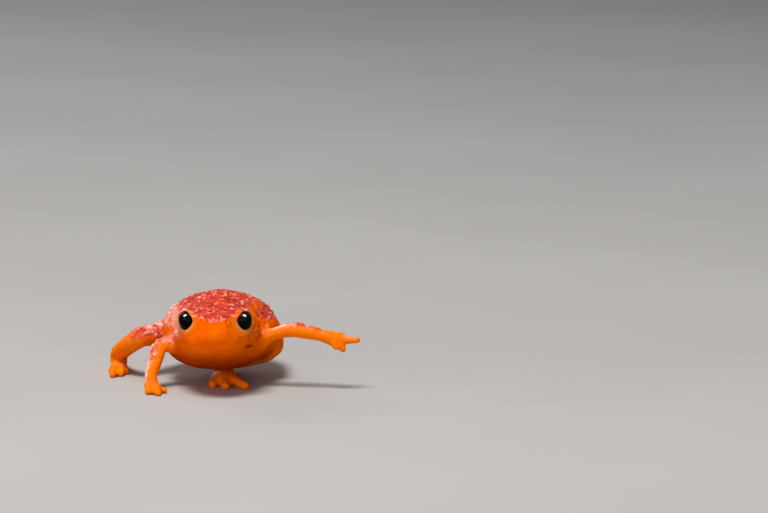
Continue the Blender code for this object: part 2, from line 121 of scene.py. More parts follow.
LEFT_LEG = (
    (1.20, 11.2, 2.75, 0.85),
    (2.20, 10.1, 2.50, 0.88),
    (2.62, 8.60, 2.24, 0.76),
    (2.80, 7.50, 2.03, 0.64),
    (2.80, 6.75, 2.02, 0.61),
    (2.40, 7.14, 1.50, 0.51),
    (1.30, 8.05, 0.98, 0.43),
    (0.40, 8.85, 0.68, 0.40),
    (-0.05, 9.30, 0.54, 0.36),
)
KNEE, LIMB_MARGIN = 4, 0.45
LIMB_STEP, DIGIT_STEP = 0.12, 0.08
KNEE_FILLET, DIGIT_FILLET, WRIST_FILLET = 0.10, 0.16, 0.30

# Hands and feet: the way the palm or sole is flattened and how much, its knots, and the digits. The
# left foot is fuller and webbed, and a digit of the right hand shorter, than in the CAD source.
RIGHT_HAND = (
    (0.0, 0.0, 1.0, 0.66),
    ((-4.09, 3.02, 0.42, 0.34), (-4.04, 2.76, 0.31, 0.42), (-3.92, 2.46, 0.25, 0.40)),
    (
        ((-4.06, 2.66, 0.24, 0.20), (-4.20, 2.36, 0.20, 0.18), (-4.24, 2.18, 0.16, 0.15)),
        ((-3.90, 2.58, 0.27, 0.26), (-3.74, 2.16, 0.22, 0.23), (-3.60, 1.86, 0.16, 0.18)),
        ((-3.90, 2.66, 0.26, 0.23), (-3.56, 2.60, 0.21, 0.19), (-3.28, 2.58, 0.15, 0.15)),
        ((-3.92, 2.84, 0.24, 0.21), (-3.66, 2.94, 0.19, 0.18), (-3.48, 2.98, 0.16, 0.15)),
    ),
)
LEFT_HAND = (
    (0.0, 1.0, 0.15, 0.66),
    ((6.25, 3.58, 3.08, 0.34), (6.50, 3.56, 3.00, 0.43), (6.74, 3.52, 2.95, 0.42)),
    (
        ((6.44, 3.48, 2.88, 0.22), (6.54, 3.38, 2.68, 0.20), (6.58, 3.34, 2.58, 0.17)),
        ((6.66, 3.48, 2.86, 0.26), (6.88, 3.42, 2.62, 0.23), (7.00, 3.36, 2.44, 0.18)),
        ((6.66, 3.52, 2.98, 0.28), (7.28, 3.48, 2.97, 0.23), (7.80, 3.42, 2.98, 0.19)),
        ((6.58, 3.58, 3.06, 0.24), (6.78, 3.64, 3.18, 0.20), (6.92, 3.68, 3.22, 0.17)),
    ),
)
RIGHT_FOOT = (
    (0.0, 0.0, 1.0, 0.66),
    ((-6.52, 10.50, 0.42, 0.44), (-6.46, 9.60, 0.33, 0.48), (-6.42, 8.86, 0.28, 0.50)),
    (
        ((-6.22, 8.90, 0.28, 0.24), (-6.04, 8.60, 0.23, 0.21), (-5.94, 8.36, 0.18, 0.17)),
        ((-6.32, 8.80, 0.30, 0.28), (-6.24, 8.20, 0.25, 0.25), (-6.20, 7.66, 0.18, 0.19)),
        ((-6.50, 8.80, 0.30, 0.29), (-6.62, 8.00, 0.25, 0.26), (-6.66, 7.36, 0.18, 0.20)),
        ((-6.62, 9.00, 0.26, 0.22), (-6.76, 8.72, 0.21, 0.19), (-6.84, 8.52, 0.17, 0.15)),
    ),
)
LEFT_FOOT = (
    (0.0, 0.0, 1.0, 0.62),
    (
        (-0.10, 9.12, 0.42, 0.38),
        (-0.16, 7.60, 0.38, 0.56),
        (0.00, 6.10, 0.35, 0.68),
        (0.06, 5.00, 0.25, 0.60),
    ),
    (
        ((-0.42, 5.90, 0.26, 0.29), (-0.52, 4.95, 0.23, 0.28), (-0.60, 4.18, 0.18, 0.21)),
        ((-0.10, 5.80, 0.27, 0.31), (0.06, 4.60, 0.25, 0.30), (0.16, 3.68, 0.19, 0.23)),
        ((0.10, 5.90, 0.27, 0.31), (0.74, 4.75, 0.24, 0.29), (1.34, 3.80, 0.18, 0.22)),
        ((0.22, 6.16, 0.25, 0.25), (0.62, 5.80, 0.21, 0.22), (0.84, 5.56, 0.17, 0.17)),
    ),
)

# The studio, in the row frame's metres: the floor, the place that the lights point at, and each
# light's place, size, watts and colour.
FLOOR_RADIUS, FLOOR_SIDES = 1.5, 96
LIT = Vector((0.0, 0.0, 0.003))
KEY = (-0.035, -0.10, 0.27), (0.095, 0.095), 0.82, (1.0, 0.98, 0.96)
FRONT = (-0.18, -0.62, 0.12), (0.80, 0.20), 1.75, (1.0, 1.0, 1.0)
BACK = (-0.16, 0.22, 0.16), (0.14, 0.10), 0.16, (1.0, 1.0, 1.0)
# Each eye, the right and the left, has a catch light that reaches nothing else.
CATCH_AT = (-0.074, -0.079, 0.245), (0.030, -0.079, 0.245)
CATCH = (0.10, 0.15), 24.0, (0.90, 0.94, 1.0)
WORLD_COLOUR, WORLD_STRENGTH = (0.95, 0.96, 1.0, 1.0), 0.15
# The photograph's camera: its place in the CAD source's millimetres, its tilt up from straight down
# and its lens.
CAMERA_AT, CAMERA_TILT, CAMERA_LENS = (9.375, -193.311, 39.030), math.radians(81.0), 162.0

# The skin's grid: where the spacing changes along each axis, in millimetres.
GRID_X = ((-7.25, 0.065), (-2.75, 0.042), (2.35, 0.065), (8.15, 0.0))
GRID_Y = ((-0.15, 0.042), (3.00, 0.062), (13.0, 0.0))
GRID_Z = ((-0.12, 0.065), (2.60, 0.042), (5.62, 0.0))
HEAD_BOX = (-3.6, -0.5, 2.6), (3.3, 3.6, 6.0)
# The body's own distance is kept on a coarser grid, which ends a little beyond the body.
COARSE, BEYOND = 0.15, 1.2
# A distance for places out of reach, and how many points are worked on at once.
FAR, BATCH = 9.0, 400000
FLOOR_FILLET = 0.03
# The net's points are first moved onto the surface, then evened out.
SETTLE_ROUNDS, SETTLE_STEP = 3, 0.04
EVEN_ROUNDS, EVEN_SHARE = 2, 0.4


def curve(stations, at):
    """Values at each of at on a smooth curve through stations, whose first column is the distance."""
    table = np.array(stations, float)
    x, rows = table[:, 0], table[:, 1:]
    order = np.arange(len(x))
    before, after = np.maximum(order - 1, 0), np.minimum(order + 1, len(x) - 1)
    slope = (rows[after] - rows[before]) / (x[after] - x[before])[:, None]
    at = np.asarray(at, float)
    k = np.clip(np.searchsorted(x, at, side="right") - 1, 0, len(x) - 2)
    span = (x[k + 1] - x[k])[:, None]
    f = (at - x[k])[:, None] / span
    return (
        (2 * f**3 - 3 * f**2 + 1) * rows[k]
        + (f**3 - 2 * f**2 + f) * span * slope[k]
        + (3 * f**2 - 2 * f**3) * rows[k + 1]
        + (f**3 - f**2) * span * slope[k + 1]
    )


def rounding(from_end, shape):
    length, bluntness = shape
    share = 1 - np.clip(from_end / length, 0, 1)
    return (1 - share**bluntness) ** (1 / bluntness)


def ease(low, high, value):
    """Rises smoothly from 0 at low to 1 at high, or falls where low is above high."""
    f = np.clip((value - low) / (high - low), 0, 1)
    return f * f * (3 - 2 * f)


def bell(value, width):
    return np.exp(-((value / width) ** 2))


def unit(way):
    return way / np.linalg.norm(way)


def away_from(points, at):
    return np.linalg.norm(points - at, axis=1)


def mouth_height(share):
    """Height of the line between the lips, a share of the way from its front to a corner."""
    return MOUTH_FRONT_Z + (MOUTH_CORNER_Z - MOUTH_FRONT_Z) * np.minimum(share, 1) ** 2


def turn_body(points, back=False):
    """Turns points of the straight body to the way the animal faces, or back again."""
    pivot = np.array([0.0, LENGTH / 2, 0.0])
    step = np.array([BODY_SIDESTEP, 0.0, 0.0])
    matrix = np.array(Matrix.Rotation(-BODY_YAW if back else BODY_YAW, 3, "Z"))
    if back:
        return (points - step - pivot) @ matrix.T + pivot
    return (points - pivot) @ matrix.T + pivot + step


def turned(way):
    """A direction of the straight body, turned with it and one long."""
    return unit(turn_body(way) - turn_body(np.zeros(3)))


def ring_faces(rings, sides):
    """Faces over a stack of rings, closed by the two points that follow the last ring's."""
    first, last = rings * sides, rings * sides + 1
    end = (rings - 1) * sides
    faces = []
    for i in range(rings - 1):
        for j in range(sides):
            k = (j + 1) % sides
            faces.append((i * sides + j, (i + 1) * sides + j, (i + 1) * sides + k, i * sides + k))
    for j in range(sides):
        k = (j + 1) % sides
        faces.append((first, j, k))
        faces.append((last, end + k, end + j))
    return faces


def body_surface(rings=240, sides=260):
    """The straight body's surface as vertices and faces."""
    along = LENGTH * (1 - np.cos(np.pi * np.arange(1, rings) / rings)) / 2
    angle = 2 * np.pi * np.arange(sides) / sides
    t, a = np.meshgrid(along, angle, indexing="ij")
    half, top, widest, low = (v[:, None] for v in curve(BODY_STATIONS, along).T)
    plan = rounding(t, SNOUT_PLAN) * rounding(LENGTH - t, RUMP_PLAN)
    profile = rounding(t, SNOUT_PROFILE) * rounding(LENGTH - t, RUMP_PROFILE)
    blend = np.clip((t - 2.0) / 3.0, 0, 1)
    across, up = np.cos(a), np.sin(a)
    below = np.where(across > 0, TRUNK_BELOW_LEFT, TRUNK_BELOW_RIGHT)
    head = np.where(up > 0, HEAD_TOP, HEAD_BELOW)
    trunk = np.where(up > 0, TRUNK_TOP, below)
    power = 2 / (head + (trunk - head) * blend)
    reach = np.where(up > 0, top - widest, widest - low)
    x = half * plan * np.sign(across) * np.abs(across) ** power
    z = widest + reach * profile * np.sign(up) * np.abs(up) ** power
    z += np.where(up > 0, SPINE_RIDGE * blend * profile * up * bell(x, SPINE_RIDGE_WIDTH), 0)
    lips = LIP_SWELL * (1 - blend) * plan * bell(z - mouth_height(t / MOUTH_LENGTH), LIP_SPREAD)
    points = np.stack([x + np.copysign(lips, x), t - lips * (1 - plan), z], -1).reshape(-1, 3)
    ends = [(0.0, at, curve(BODY_STATIONS, [at])[0, 2]) for at in (0.0, LENGTH)]
    return turn_body(np.vstack([points, ends])), ring_faces(rings - 1, sides)


class BodyField:
    """Signed distance to the body, kept on a coarse grid and read between its points by cubic curves."""

    def __init__(self):
        points, faces = body_surface()
        tree = BVHTree.FromPolygons(points.tolist(), faces)
        low, high = points.min(0) - BEYOND, points.max(0) + BEYOND
        self.low = low
        self.count = np.ceil((high - low) / COARSE).astype(int) + 1
        self.high = low + COARSE * (self.count - 1)
        axes = [low[i] + COARSE * np.arange(self.count[i]) for i in range(3)]
        nodes = np.stack(np.meshgrid(*axes, indexing="ij"), -1).reshape(-1, 3)
        values = np.empty(len(nodes))
        for i, node in enumerate(nodes.tolist()):
            near, normal, _, distance = tree.find_nearest(node)
            outside = (node[0] - near[0]) * normal[0] + (node[1] - near[1]) * normal[1]
            outside += (node[2] - near[2]) * normal[2]
            values[i] = distance if outside > 0 else -distance
        self.values = values.reshape(self.count)

    def weights(self, at, axis):
        """For places along one axis: the first of the four grid points to read, and their shares."""
        f = (at - self.low[axis]) / COARSE
        first = np.clip(np.floor(f).astype(int) - 1, 0, self.count[axis] - 4)
        f = np.clip(f - first - 1, -1, 2)
        shares = (
            -0.5 * f + f**2 - 0.5 * f**3,
            1 - 2.5 * f**2 + 1.5 * f**3,
            0.5 * f + 2 * f**2 - 1.5 * f**3,
            -0.5 * f**2 + 0.5 * f**3,
        )
        return first, shares

    def on_grid(self, axes):
        result = self.values
        for axis, at in enumerate(axes):
            first, shares = self.weights(at, axis)
            matrix = np.zeros((len(at), self.count[axis]))
            for k, share in enumerate(shares):
                matrix[np.arange(len(at)), first + k] += share
            result = np.moveaxis(np.tensordot(matrix, result, (1, axis)), 0, axis)
        for axis, at in enumerate(axes):
            inside = (at > self.low[axis]) & (at < self.high[axis])
            shape = [1, 1, 1]
            shape[axis] = -1
            result = np.where(inside.reshape(shape), result, BEYOND)
        return result

    def at(self, points):
        firsts, shares = zip(*(self.weights(points[:, i], i) for i in range(3)))
        result = np.zeros(len(points))
        for i, j, k in np.ndindex(4, 4, 4):
            value = self.values[firsts[0] + i, firsts[1] + j, firsts[2] + k]
            result += value * shares[0][i] * shares[1][j] * shares[2][k]
        return np.where(((points > self.low) & (points < self.high)).all(1), result, BEYOND)


def joined(a, b, softness):
    """The union of two distances, with a fillet of about softness where they meet."""
    blend = np.maximum(softness - np.abs(a - b), 0) / softness
    return np.minimum(a, b) - blend * blend * softness / 4


def carved(a, b, softness):
    return -joined(-a, b, softness)


def along_knots(knots, step=LIMB_STEP):
    """Closely spaced (x, y, z, radius) on the smooth curve through a limb's knots."""
    table = np.array(knots, float)
    at = np.concatenate([[0], np.cumsum(np.linalg.norm(np.diff(table[:, :3], axis=0), axis=1))])
    count = max(3, int(math.ceil(at[-1] / step)) + 1)
    return curve(np.column_stack([at, table]), np.linspace(0, at[-1], count))


def sweep(points, samples, flat=None, reach=0.5, chunk=5):
    """Distance to a round sweep through samples, out to about reach and FAR beyond it.
    flat is the axis and share by which it is flattened."""
    matrix, share = np.eye(3), 1.0
    if flat is not None:
        axis = unit(np.array(flat[:3]))
        share = flat[3]
        matrix = matrix + (1 / share - 1) * np.outer(axis, axis)
    result = np.full(len(points), FAR)
    for start in range(0, len(samples) - 1, chunk):
        part = samples[start : start + chunk + 1]
        low = (part[:, :3] - part[:, 3:]).min(0) - reach
        high = (part[:, :3] + part[:, 3:]).max(0) + reach
        near = np.flatnonzero(((points > low) & (points < high)).all(1))
        if not len(near):
            continue
        moved, centres = points[near] @ matrix.T, part[:, :3] @ matrix.T
        best = result[near]
        for a, b, ra, rb in zip(centres, centres[1:], part[:, 3], part[1:, 3]):
            way = b - a
            from_a = moved - a
            f = np.clip(from_a @ way / (way @ way), 0, 1)
            from_a -= f[:, None] * way
            gap = np.sqrt(np.einsum("ij,ij->i", from_a, from_a)) - (ra + f * (rb - ra))
            best = np.minimum(best, gap * (share + 1) / 2)
        result[near] = best
    return result


class Limb:
    """An arm or leg with its hand or foot, blended into the body by root."""

    def __init__(self, lengths, extremity, root):
        self.lengths = [along_knots(k) for k in lengths]
        self.flat, palm, digits = extremity
        self.palm = along_knots(palm)
        self.digits = [along_knots(d, DIGIT_STEP) for d in digits]
        self.root = root
        every = np.vstack(self.lengths + [self.palm] + self.digits)
        self.low = (every[:, :3] - every[:, 3:]).min(0) - LIMB_MARGIN
        self.high = (every[:, :3] + every[:, 3:]).max(0) + LIMB_MARGIN

    def at(self, points):
        length = sweep(points, self.lengths[0])
        for other in self.lengths[1:]:
            length = joined(length, sweep(points, other), KNEE_FILLET)
        hand = sweep(points, self.palm, self.flat)
        for digit in self.digits:
            hand = joined(hand, sweep(points, digit), DIGIT_FILLET)
        return joined(length, hand, WRIST_FILLET)


class Eye:
    """One eye: its place, and the angles that its lids open to."""

    def __init__(self, side):
        self.centre = turn_body(EYE_CENTRE * (side, 1, 1))
        self.look = turned(EYE_LOOK * (side, 1, 1))
        self.gaze = turned(CORNEA_LOOK * (side, 1, 1))
        inner = np.array([-side, 0.0, 0.0])
        self.inner = unit(inner - self.look * (inner @ self.look))
        self.up = np.cross(self.inner, self.look) * side

    def angles(self, points):
        """Each point's distance from the eye's centre, its angle from the way the eye looks, the angle
        that the lids open to on its side, and its turn round that way."""
        away = points - self.centre
        far = np.maximum(np.linalg.norm(away, axis=1), 1e-6)
        theta = np.arccos(np.clip(away @ self.look / far, -1, 1))
        inward, upward = away @ self.inner, away @ self.up
        psi = np.arctan2(upward, inward)
        corner = np.where(inward > 0, np.sin(2 * psi) ** 2, 0)
        opening = LID_OPENING * (1 - corner * np.where(upward > 0, 0.10, 0.06))
        return far, theta, opening, psi

    def lids(self, points, body):
        near = away_from(points, self.centre) < LID_REACH
        p, f = points[near], body[near]
        far, theta, opening, _ = self.angles(p)
        f = joined(f, far - (SOCKET + LID), LID_FILLET)
        beyond = np.clip(far - (SOCKET + LID), 0, LID_END)
        cone = far * np.sin(np.clip(theta - opening - LID_FLARE * beyond, -math.pi / 2, math.pi / 2))
        cone = np.maximum(cone, LID_START - far)
        f = carved(f, cone, LID_EDGE + LID_EDGE_GROWTH * beyond)
        f = carved(f, far - SOCKET, SOCKET_FILLET)
        body[near] = f
        return body


LIMBS = (
    Limb([RIGHT_ARM], RIGHT_HAND, 0.55),
    Limb([LEFT_ARM], LEFT_HAND, 0.80),
    Limb([RIGHT_LEG[: KNEE + 1], RIGHT_LEG[KNEE:]], RIGHT_FOOT, 0.45),
    Limb([LEFT_LEG[: KNEE + 1], LEFT_LEG[KNEE:]], LEFT_FOOT, 0.75),
)
EYES = (Eye(-1), Eye(1))


def whole(points, body):
    """Signed distance to the whole animal, from the points' distances to the body alone."""
    result = body.copy()
    for limb in LIMBS:
        near = ((points > limb.low) & (points < limb.high)).all(1)
        # The fillet shrinks near the floor, where a foot passes under the belly.
        root = limb.root * (0.15 + 0.85 * ease(0.85, 1.50, points[near, 2]))
        result[near] = joined(result[near], limb.at(points[near]), root)
    for eye in EYES:
        result = eye.lids(points, result)
    for side in (-1, 1):
        at = turn_body(NOSTRIL_AT * (side, 1, 1))
        way = unit(NOSTRIL_LOOK) * (side, 1, 1)
        pit = np.array([[*(at + way * step), radius] for step, radius in NOSTRIL_ENDS])
        near = away_from(points, at) < NOSTRIL_REACH
        result[near] = carved(result[near], sweep(points[near], pit), NOSTRIL_RIM)
    return carved(result, points[:, 2], FLOOR_FILLET)


def spaced(stops):
    """Places along one axis, with the spacing that each stop asks for up to the next."""
    parts = []
    for (start, step), (end, _) in zip(stops, stops[1:]):
        count = round((end - start) / step)
        parts.append(start + (end - start) * np.arange(count) / count)
    return np.concatenate(parts + [[stops[-1][0]]])


def surface_net(axes, field):
    """The field's zero surface as quads, one vertex in each cell that it crosses."""
    inside = field < 0
    shape = np.array(field.shape) - 1
    count = np.zeros(shape, np.int8)
    for i, j, k in np.ndindex(2, 2, 2):
        count += inside[i : i + shape[0], j : j + shape[1], k : k + shape[2]]
    cells = np.argwhere((count > 0) & (count < 8))
    index = np.full(shape, -1, np.int64)
    index[tuple(cells.T)] = np.arange(len(cells))
    total, crossings = np.zeros((len(cells), 3)), np.zeros(len(cells))
    for axis in range(3):
        for corner in np.ndindex(2, 2, 2):
            if corner[axis]:
                continue
            a = cells + corner
            b = a.copy()
            b[:, axis] += 1
            fa, fb = field[tuple(a.T)], field[tuple(b.T)]
            crossed = (fa < 0) != (fb < 0)
            share = fa[crossed] / (fa[crossed] - fb[crossed])
            crossing = np.stack([axes[i][a[crossed, i]] for i in range(3)], 1)
            crossing[:, axis] += share * (axes[axis][b[crossed, axis]] - crossing[:, axis])
            total[crossed] += crossing
            crossings[crossed] += 1
    faces = []
    for axis in range(3):
        u, v = (axis + 1) % 3, (axis + 2) % 3
        edges = np.argwhere(np.diff(inside, axis=axis))
        ok = (edges[:, u] > 0) & (edges[:, v] > 0)
        ok &= (edges[:, u] < shape[u]) & (edges[:, v] < shape[v])
        edges = edges[ok]
        quads = []
        for du, dv in ((1, 1), (0, 1), (0, 0), (1, 0)):
            cell = edges.copy()
            cell[:, u] -= du
            cell[:, v] -= dv
            quads.append(index[tuple(cell.T)])
        quads = np.stack(quads, 1)
        leaving = inside[tuple(edges.T)]
        quads[~leaving] = quads[~leaving][:, ::-1]
        faces.append(quads)
    return total / crossings[:, None], np.vstack(faces)


class Skin:
    """The skin's vertices and quads, with the few things that are done to them."""

    def __init__(self, points, faces):
        self.points, self.faces = points, faces

    def normals(self):
        p, f = self.points, self.faces
        face = np.cross(p[f[:, 2]] - p[f[:, 0]], p[f[:, 3]] - p[f[:, 1]])
        result = np.zeros_like(p)
        for axis, k in np.ndindex(3, 4):
            result[:, axis] += np.bincount(f[:, k], face[:, axis], len(p))
        return result / np.maximum(np.linalg.norm(result, axis=1), 1e-12)[:, None]

    def smooth(self, rounds, share):
        """Moves each vertex a share of the way to its neighbours' mean."""
        pairs = np.vstack([self.faces[:, [i, (i + 1) % 4]] for i in range(4)])
        a, b = np.unique(np.sort(pairs, 1), axis=0).T
        count = len(self.points)
        degree = np.bincount(a, minlength=count) + np.bincount(b, minlength=count)
        for _ in range(rounds):
            mean = np.empty_like(self.points)
            for k, column in enumerate(self.points.T):
                total = np.bincount(a, column[b], count) + np.bincount(b, column[a], count)
                mean[:, k] = total / degree
            self.points = self.points + share * (mean - self.points)


def build_skin(body):
    axes = [spaced(stops) for stops in (GRID_X, GRID_Y, GRID_Z)]
    field = body.on_grid(axes)
    # Only the boxes round the limbs and the head need more than the body's own distance.
    done = np.zeros(field.shape, bool)
    boxes = [(limb.low, limb.high) for limb in LIMBS] + [HEAD_BOX]
    result = carved(field, axes[2][None, None, :] + 0 * field, FLOOR_FILLET)
    for low, high in boxes:
        cut = tuple(slice(*np.searchsorted(axis, (a, b))) for axis, a, b in zip(axes, low, high))
        mask = ~done[cut]
        spot = np.argwhere(mask)
        points = np.stack([axes[i][cut[i]][spot[:, i]] for i in range(3)], 1)
        own = field[cut][mask]
        batches = range(0, len(points), BATCH)
        values = [whole(points[s : s + BATCH], own[s : s + BATCH]) for s in batches]
        result[cut][mask] = np.concatenate(values)
        done[cut] = True
    skin = Skin(*surface_net(axes, result))
    for _ in range(SETTLE_ROUNDS):
        distance = whole(skin.points, body.at(skin.points))
        step = np.clip(distance, -SETTLE_STEP, SETTLE_STEP)
        skin.points = skin.points - skin.normals() * step[:, None]
    skin.smooth(EVEN_ROUNDS, EVEN_SHARE)
    return skin


def scattered(cell, seed):
    """Four even random numbers for each whole-numbered cell, always the same ones."""
    x, y, z = (cell[:, i].astype(np.uint64) for i in range(3))
    mixed = x * 73856093 ^ y * 19349663 ^ z * 83492791 ^ (seed * 2654435761 % 2**32)
    numbers = []
    for k in range(4):
        mixed = (mixed ^ (mixed >> 15)) * 2246822519 + k * 3266489917 & 0xFFFFFFFF
        mixed = (mixed ^ (mixed >> 13)) * 3266489917 & 0xFFFFFFFF
        numbers.append(((mixed ^ (mixed >> 16)) & 0xFFFFFF) / 0xFFFFFF)
    return np.stack(numbers, 1)


def grains(points, size, seed):
    """Grains scattered about size apart: each point's distance to the nearest, in sizes, and that
    grain's own number from 0 to 1."""
    grid = points / size + 1000
    base = np.floor(grid).astype(np.int64)
    best, own = np.full(len(points), FAR), np.zeros(len(points))
    for step in np.ndindex(3, 3, 3):
        cell = base + np.array(step) - 1
        numbers = scattered(cell, seed)
        away = np.linalg.norm(cell + numbers[:, :3] - grid, axis=1)
        closer = away < best
        best = np.where(closer, away, best)
        own = np.where(closer, numbers[:, 3], own)
    return best, own


def drift(points, size, seed):
    """Smooth noise from -1 to 1 whose hills are about size across."""
    grid = points / size + 1000
    base = np.floor(grid).astype(np.int64)
    f = grid - base
    f = f * f * (3 - 2 * f)
    result = np.zeros(len(points))
    for step in np.ndindex(2, 2, 2):
        share = np.prod(np.where(step, f, 1 - f), axis=1)
        result += share * scattered(base + np.array(step), seed)[:, 0]
    return result * 2 - 1


def nearest(points, places):
    """The skin's own points nearest to a few places."""
    return np.array([points[np.argmin(away_from(points, at))] for at in places])


def round_marks(points, marks):
    """For each (x, y, z, radius): the points' distances to it, short along y so that the mark looks
    round from the front, and its radius."""
    for x, y, z, radius in marks:
        at = nearest(points, [(x, y, z)])
        yield np.linalg.norm((points - at) * (1.0, 0.06, 1.0), axis=1), radius


def from_line(points, line):
    """Each point's distance to a line over the skin, and how far along it that is, 0 to 1."""
    line = nearest(points, line)
    best, share = np.full(len(points), FAR), np.zeros(len(points))
    for i, (a, b) in enumerate(zip(line, line[1:])):
        way = b - a
        f = np.clip((points - a) @ way / (way @ way), 0, 1)
        away = np.linalg.norm(points - a - f[:, None] * way, axis=1)
        closer = away < best
        best = np.where(closer, away, best)
        share = np.where(closer, (i + f) / (len(line) - 1), share)
    return best, share


SHOULDER = ((-3.28, 4.13, 2.85), (-3.02, 3.95, 3.22), (-2.70, 3.40, 3.42), (-2.50, 2.95, 3.38))
ARM_RIDGE = ((2.30, 3.90, 3.30), (2.70, 3.93, 3.46), (3.30, 3.80, 3.66), (4.30, 3.66, 3.86))
# Folds (+) and creases (-): height, width and the places that each runs through.
FOLDS = (
    (0.09, 0.14, SHOULDER),
    (0.05, 0.10, ARM_RIDGE),
    (0.05, 0.12, ((1.78, 2.30, 3.60), (1.98, 2.90, 3.52), (2.15, 3.60, 3.60))),
    (-0.05, 0.10, ((-3.35, 4.75, 2.05), (-3.20, 4.15, 2.00), (-3.25, 3.85, 2.25))),
    (-0.05, 0.10, ((-4.80, 7.45, 1.85), (-4.70, 7.10, 2.10), (-4.75, 6.80, 2.35))),
    (-0.08, 0.50, ((-2.80, 4.00, 4.40), (-2.95, 5.20, 4.50), (-2.95, 6.40, 4.50), (-2.80, 7.60, 4.30))),
    (-0.20, 0.62, ((2.40, 3.90, 4.30), (2.70, 5.00, 4.40), (2.75, 6.20, 4.40), (2.50, 7.60, 4.20))),
)
# Painted shade: a thin dark line in the crease at the end of the right shoulder's fold.
SHADED_CREASE = ((-2.12, 1.75, 3.66), (-2.00, 1.60, 3.42), (-2.06, 1.75, 3.20))
# An orange stripe through the red, behind the left eye.
STRIPE = ((1.66, 2.30, 4.95), (1.84, 3.60, 4.80), (2.06, 5.00, 4.80), (2.16, 6.60, 4.70))
# The red of the back comes down to these heights: along the flanks by distance from the snout, and
# over the face by distance from the middle.
FLANK_FRONT = ((0.0, 4.60), (1.4, 4.70), (2.6, 4.74), (4.0, 4.66))
FLANK_BACK = ((4.8, 4.15), (5.6, 3.90), (8.0, 3.75), (13.0, 3.2))
FACE_BORDER = ((0.0, 4.58), (0.3, 4.66), (0.6, 4.73), (1.05, 4.84), (1.3, 4.96), (1.6, 5.06), (3.4, 5.0))
# Painted highlights: pale places where the wet skin catches the light.
FOOT_GLARE = (-0.62, 5.60, 0.52)
THIGH_GLARES = (-4.60, 7.50, 3.02), (-3.97, 8.20, 3.06)
# Grains: how far apart they are, and how proud they stand.
GRAIN_SIZE, GRAIN_HEIGHT = 0.27, 0.120
GRANULE_SIZE = 0.55
FINE_SIZE, FINE_HEIGHT = 0.13, 0.022
WART_HEIGHT = 0.025
LIP_LINE_DEPTH, LIP_LINE_WIDTH = 0.030, 0.04
# Gentle swells of the skin: height, size across and seed.
SWELLS = ((0.022, 0.75, 20), (0.010, 0.28, 21))
# Dark spots on the cheeks and the arm's root, and pale warts: place and radius.
SPOTS = (
    (1.50, 1.90, 2.88, 0.27),
    (1.72, 2.34, 2.86, 0.15),
    (2.10, 3.50, 3.22, 0.13),
    (2.08, 3.50, 3.75, 0.10),
    (2.50, 4.72, 3.84, 0.09),
    (1.86, 1.75, 3.30, 0.05),
    (-0.62, 0.42, 4.40, 0.05),
    (0.20, 0.30, 4.42, 0.04),
    (-1.20, 0.70, 3.90, 0.04),
    (1.10, 0.85, 3.60, 0.05),
    (-2.30, 2.10, 3.10, 0.06),
)
WARTS = (
    (1.80, 1.85, 3.62, 0.11),
    (1.99, 2.74, 3.75, 0.12),
    (1.74, 1.73, 3.86, 0.08),
    (1.85, 1.96, 3.39, 0.10),
    (1.32, 0.93, 3.73, 0.07),
    (2.29, 4.47, 4.09, 0.11),
    (2.62, 4.83, 3.61, 0.11),
    (2.70, 4.05, 3.40, 0.10),
    (2.05, 2.95, 3.40, 0.10),
    (-2.42, 2.60, 3.85, 0.10),
    (-2.50, 3.00, 3.50, 0.09),
    (-2.60, 3.40, 4.00, 0.12),
)


def mouth_line(points):
    """How far each point is above the line between the lips, and how much of the line is there."""
    x, y, z = turn_body(points, back=True).T
    share = np.abs(np.arctan2(x, MOUTH_CENTRE_Y - y)) / MOUTH_SWEEP
    here = ease(1.0, 0.92, share) * (y < 3.0) * (z > 2.0) * (0.3 + 0.7 * ease(0.55, 0.85, share))
    return z - mouth_height(share * 1.25), here


def lid_marks(points):
    """The pale rim under each eye, a painted highlight along the edge above it, and 1 where the skin may
    be granular.
    """
    lid, brow_glint, clear = np.zeros(len(points)), np.zeros(len(points)), np.ones(len(points))
    for eye in EYES:
        far, theta, opening, psi = eye.angles(points)
        gap = (theta - opening) * far
        near = (far < 1.0) & (gap > -0.2)
        height = np.sin(psi)
        lid += near * ease(0.25, -0.45, height) * bell(gap, 0.07)
        brow_glint += near * (1 - ease(0.45, -0.25, height)) * bell(gap - 0.12, 0.12)
        edge = 0.10 - 0.07 * ease(-0.1, 0.4, height)
        clear *= ease(edge, edge + 0.15, np.maximum(gap, far - 1.0))
    clear *= ease(0.05, 0.35, points[:, 2])
    return np.clip(lid, 0, 1), brow_glint, clear


def spot_and_shade_marks(points, front_face):
    """The dark spots and flecks, painted shade in the nostrils, the mouth's line and a crease, and the
    pale warts.
    """
    spot, wart = np.zeros(len(points)), np.zeros(len(points))
    for away, radius in round_marks(points, SPOTS):
        spot += 0.65 * ease(radius, radius * 0.3, away + 0.04 * drift(points, 0.12, 12))
    # Painted shade in the nostrils.
    for side in (-1, 1):
        away = away_from(points, turn_body(NOSTRIL_AT * (side, 1, 1)))
        spot += 0.45 * ease(0.20, 0.06, away)
    fleck, own = grains(points, 0.42, 13)
    spot += 0.22 * front_face * (own > 0.72) * ease(0.14, 0.04, fleck)
    # Painted shade in the mouth's line and in the crease at the end of the shoulder's fold.
    line, here = mouth_line(points)
    spot += 0.06 * here * bell(line, 0.03) + 0.4 * bell(from_line(points, SHADED_CREASE)[0], 0.05)
    for away, radius in round_marks(points, WARTS):
        wart += ease(radius * 1.3, 0.0, away)
    return np.clip(spot, 0, 1), np.clip(wart, 0, 1)


def grain_marks(points):
    """The skin's grains and its finer granules, each from 0 to about 1."""
    away, own = grains(points, GRAIN_SIZE, 14)
    grain = np.clip(1 - (away / 0.60) ** 2, 0, 1) * (0.25 + 0.75 * own)
    grain *= 0.85 + 0.3 * drift(points, 1.1, 16)
    away, own = grains(points, GRANULE_SIZE, 24)
    grain = np.maximum(grain, ease(0.34, 0.12, away) * ease(0.45, 0.65, own))
    away, own = grains(points, FINE_SIZE, 15)
    return grain, ease(0.60, 0.15, away) * own


